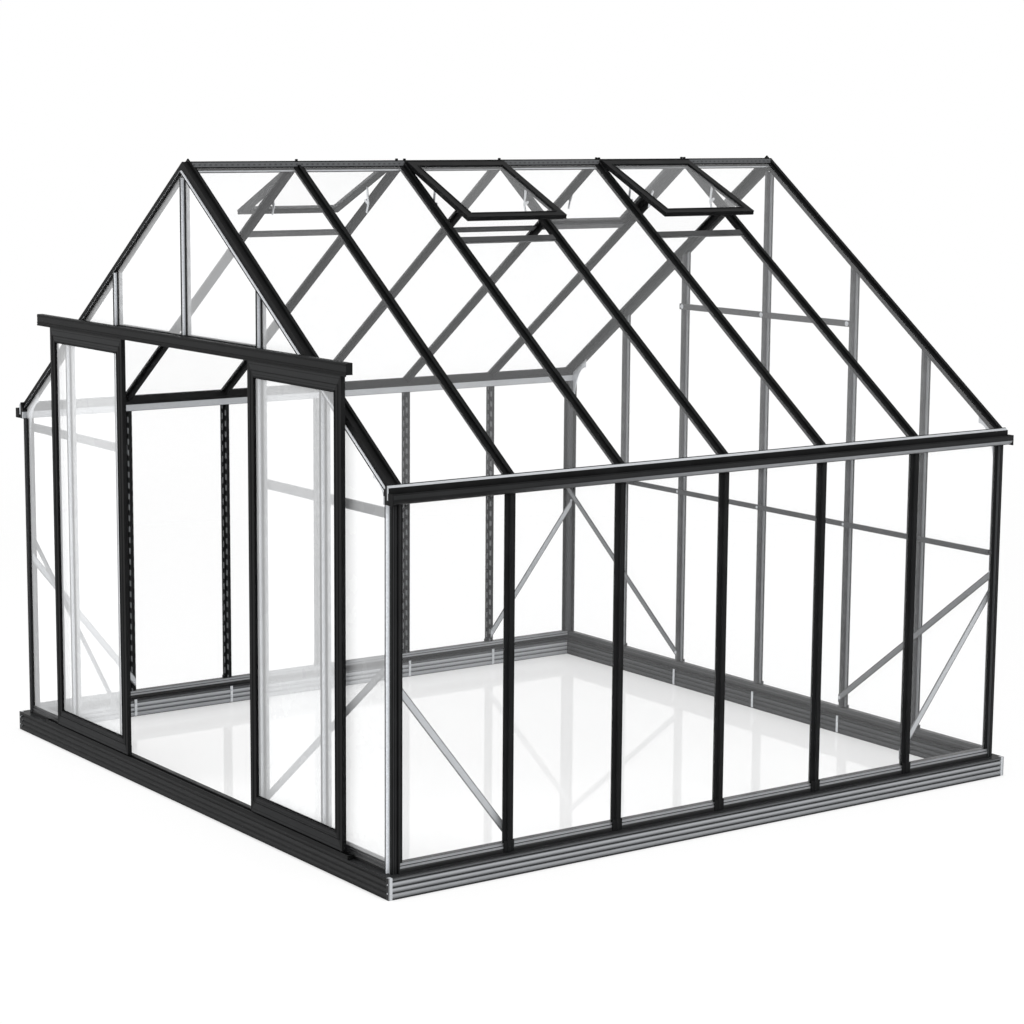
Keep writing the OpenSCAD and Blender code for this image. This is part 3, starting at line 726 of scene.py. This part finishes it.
def make_rail_bolts(metal):
    """Bolts where the upper and middle rails meet the posts of the back gable."""
    bm = bmesh.new()
    low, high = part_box("back_high_rail")
    middle = (low.z + high.z) / 2
    for across in (low.x + 0.022, 0.0, high.x - 0.022):
        add_bolt(bm, (across, low.y, middle), (0, -1, 0), 0.010, 0.006)
    low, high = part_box("back_mid_rail")
    middle = (low.z + high.z) / 2
    for across in (-OUTER_X, -JAMB_X, 0.0, JAMB_X, OUTER_X):
        add_bolt(bm, (across, low.y, middle), (0, -1, 0), 0.006, 0.004)
    new_piece("rail_bolts", bm, metal)


def make_hinge_knuckles(metal):
    """Knuckles at both ends of each vent's hinge line, beside the ridge cap."""
    bm = bmesh.new()
    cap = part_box("ridge_beam")[1].z
    for side, along, _ in VENTS:
        for end in (-1, 1):
            middle = along + end * (VENT_HALF - 0.006)
            across = side * 0.012
            add_bar(bm, (across - 0.007, middle - 0.006, cap - 0.001),
                    (across + 0.007, middle + 0.006, cap + 0.009), 0.0025)
    new_piece("hinge_knuckles", bm, metal)


def make_track_trim(metal):
    """End caps of the door track and guide, and the ribs and skirt along the track."""
    bm = bmesh.new()
    for node in ("door_track", "door_guide"):
        low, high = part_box(node)
        for side, edge in ((-1, low.x), (1, high.x)):
            outer = edge + side * 0.003
            add_bar(bm, (min(edge, outer), low.y, low.z), (max(edge, outer), high.y, high.z))
    low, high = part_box("door_track")
    for base, top in ((high.z - 0.012, high.z - 0.007), (low.z + 0.006, low.z + 0.012)):
        add_bar(bm, (low.x, low.y - 0.003, base), (high.x, low.y + 0.001, top), 0.001)
    add_bar(bm, (low.x, low.y - 0.003, low.z - 0.007), (high.x, low.y + 0.0015, low.z + 0.001))
    new_piece("track_trim", bm, metal)


def make_leaf_trim(side, coat_metal, seal):
    """Raised beads on a leaf's outer face and the seal around its pane."""
    low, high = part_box(f"door_{side}_frame")
    x0 = low.x + STILE
    x1 = high.x - STILE
    z0 = low.z + LEAF_BOTTOM_RAIL
    z1 = high.z - LEAF_TOP_RAIL
    face = low.y
    bm = bmesh.new()
    for width, reach in ((0.006, 0.0025), (0.004, 0.0020)):
        gap = 0.0 if width > 0.005 else 0.030
        inner = (x0 - gap, x1 + gap, z0 - gap, z1 + gap)
        add_bar(bm, (inner[0] - width, face - reach, inner[2] - width),
                (inner[0], face + 0.001, inner[3] + width))
        add_bar(bm, (inner[1], face - reach, inner[2] - width),
                (inner[1] + width, face + 0.001, inner[3] + width))
        add_bar(bm, (inner[0], face - reach, inner[3]),
                (inner[1], face + 0.001, inner[3] + width))
        add_bar(bm, (inner[0], face - reach, inner[2] - width),
                (inner[1], face + 0.001, inner[2]))
    new_piece(f"door_{side}_beads", bm, coat_metal, f"{side}_door")
    bm = bmesh.new()
    pane_y = (low.y + high.y) / 2 - PANE_HALF
    wide = 0.005
    add_bar(bm, (x0, pane_y - 0.003, z0), (x0 + wide, pane_y, z1))
    add_bar(bm, (x1 - wide, pane_y - 0.003, z0), (x1, pane_y, z1))
    add_bar(bm, (x0 + wide, pane_y - 0.003, z1 - wide), (x1 - wide, pane_y, z1))
    add_bar(bm, (x0 + wide, pane_y - 0.003, z0), (x1 - wide, pane_y, z0 + wide))
    new_piece(f"door_{side}_seal", bm, seal, f"{side}_door")


def make_vent_lips(metal):
    """Drip lip along the free edge of each vent's frame, and a bead inside its rails."""
    bm = bmesh.new()
    for side, along, angle in VENTS:
        place = (
            Matrix.Diagonal((side, 1, 1, 1))
            @ Matrix.Translation((0, 0, APEX_Z))
            @ Matrix.Rotation(PITCH, 4, "Y")
            @ Matrix.Translation((VENT_START, along, FLANGE))
            @ Matrix.Rotation(-angle, 4, "Y")
        )
        end = VENT_LENGTH
        inner = VENT_HALF - VENT_RAIL
        add_bar(bm, (end - 0.001, -VENT_HALF, 0.004), (end + 0.005, VENT_HALF, 0.010),
                0.001, place)
        for edge in (-1, 1):
            near = edge * inner
            far = edge * (inner + 0.006)
            add_bar(bm, (VENT_RAIL, min(near, far), VENT_THICK - 0.001),
                    (end - VENT_RAIL, max(near, far), VENT_THICK + 0.003), 0.001, place)
        add_bar(bm, (end - VENT_RAIL, -inner, VENT_THICK - 0.001),
                (end - VENT_RAIL + 0.006, inner, VENT_THICK + 0.003), 0.001, place)
    new_piece("vent_lips", bm, metal)


bolt_metal = satin_metal("bolt_metal", 0.55, 0.32, 0.5)
seal_rubber = black_coat("seal_rubber", 0.004, 0.7, 0.03)
make_wall_bolts(bolt_metal)
make_rail_bolts(bolt_metal)
make_hinge_knuckles(coat)
make_track_trim(coat)
make_vent_lips(coat)
for side in ("left", "right"):
    make_leaf_trim(side, coat, seal_rubber)


# ---- studio ----


def rays(paint):
    """1 for rays from the camera, off gloss and through clear sheets, else 0."""
    path = paint.node("ShaderNodeLightPath")
    outputs = path.socket.node.outputs
    seen = [Wire(paint, outputs[name]) for name in
            ("Is Camera Ray", "Is Glossy Ray", "Is Transmission Ray")]
    total = seen[0] + seen[1] + seen[2]
    return paint.node(
        "ShaderNodeMath", {"operation": "MINIMUM"}, {0: total, 1: 1.0}
    )


def make_floor():
    """Plain pale floor, faintly glossy inside the house, that fades out far away."""
    bm = bmesh.new()
    bmesh.ops.create_grid(bm, x_segments=1, y_segments=1, size=14)
    bmesh.ops.translate(bm, verts=bm.verts, vec=(0, 0, -0.001))
    mesh = bpy.data.meshes.new("floor")
    bm.to_mesh(mesh)
    bm.free()
    floor = bpy.data.objects.new("floor", mesh)
    scene.collection.objects.link(floor)
    paint = Paint("studio_floor")
    x, y, z = paint.axes()
    lit = paint.node(
        "ShaderNodeBsdfDiffuse", inputs={"Color": (0.92, 0.92, 0.92, 1)}
    )
    glow = paint.node(
        "ShaderNodeEmission", inputs={"Color": (1, 1, 1, 1), "Strength": 1.0}
    )
    clear_of = paint.node(
        "ShaderNodeMath",
        {"operation": "MAXIMUM"},
        {0: abs(x) - HALF_W - BASE_OUT, 1: abs(y) - HALF_L - BASE_OUT},
    )
    # Within about 2 cm of the base the glow share falls, so the floor's real shadow shows only in
    # this band as a contact shadow line.
    contact = paint.ramp(clear_of, 0.004, 0.022, 0.35, 0.9)
    shown = paint.node(
        "ShaderNodeMixShader", inputs={0: rays(paint) * contact, 1: lit, 2: glow}
    )
    inside = paint.band(abs(x), -1.0, HALF_W - BASE_IN, 0.001) * paint.band(
        abs(y), -1.0, HALF_L - BASE_IN, 0.001
    )
    mirror = paint.node(
        "ShaderNodeBsdfGlossy", inputs={"Color": (1, 1, 1, 1), "Roughness": 0.03}
    )
    shown = paint.node("ShaderNodeMixShader", inputs={0: inside * 0.16, 1: shown, 2: mirror})
    reach = paint.node(
        "ShaderNodeVectorMath", {"operation": "LENGTH"}, {0: paint.coords()}, out="Value"
    )
    nothing = paint.node("ShaderNodeBsdfTransparent")
    shown = paint.node(
        "ShaderNodeMixShader", inputs={0: paint.ramp(reach, 6.0, 13.0), 1: shown, 2: nothing}
    )
    mesh.materials.append(paint.finish(shown))


def make_world():
    world = bpy.data.worlds.new("studio")
    scene.world = world
    paint = Paint("studio", owner=world)
    soft = paint.node(
        "ShaderNodeBackground", inputs={"Color": (1, 1, 1, 1), "Strength": 0.88}
    )
    white = paint.node(
        "ShaderNodeBackground", inputs={"Color": (1, 1, 1, 1), "Strength": 1.0}
    )
    sky = paint.node("ShaderNodeMixShader", inputs={0: rays(paint), 1: soft, 2: white})
    paint.finish(sky, "ShaderNodeOutputWorld")


def make_lamp(name, place, size, power):
    lamp = bpy.data.lights.new(name, "AREA")
    lamp.size = size
    lamp.energy = power
    holder = bpy.data.objects.new(name, lamp)
    scene.collection.objects.link(holder)
    aim = Vector((0, 0, 1.2)) - Vector(place)
    holder.location = place
    holder.rotation_euler = aim.to_track_quat("-Z", "Y").to_euler()


def make_camera():
    yaw = math.radians(54.386)
    dip = math.radians(8.964)
    roll = math.radians(0.432)
    ahead = Vector(
        (-math.sin(yaw) * math.cos(dip), math.cos(yaw) * math.cos(dip), -math.sin(dip))
    )
    level = Vector((math.cos(yaw), math.sin(yaw), 0))
    upright = level.cross(ahead)
    right = level * math.cos(roll) + upright * math.sin(roll)
    upright = right.cross(ahead)
    turned = Matrix((right, upright, -ahead)).transposed()
    lens = bpy.data.cameras.new("camera")
    lens.lens = 89.58
    lens.sensor_width = 36
    camera = bpy.data.objects.new("camera", lens)
    scene.collection.objects.link(camera)
    camera.matrix_world = Matrix.Translation((10.920, -7.731, 3.418)) @ turned.to_4x4()
    scene.camera = camera


make_floor()
make_world()
make_lamp("key", (7.0, -0.5, 6.0), 4.0, 300)
make_lamp("fill", (-4.0, -7.0, 4.5), 5.0, 280)
make_camera()
scene.cycles.transparent_max_bounces = 24
scene.view_settings.view_transform = "Standard"
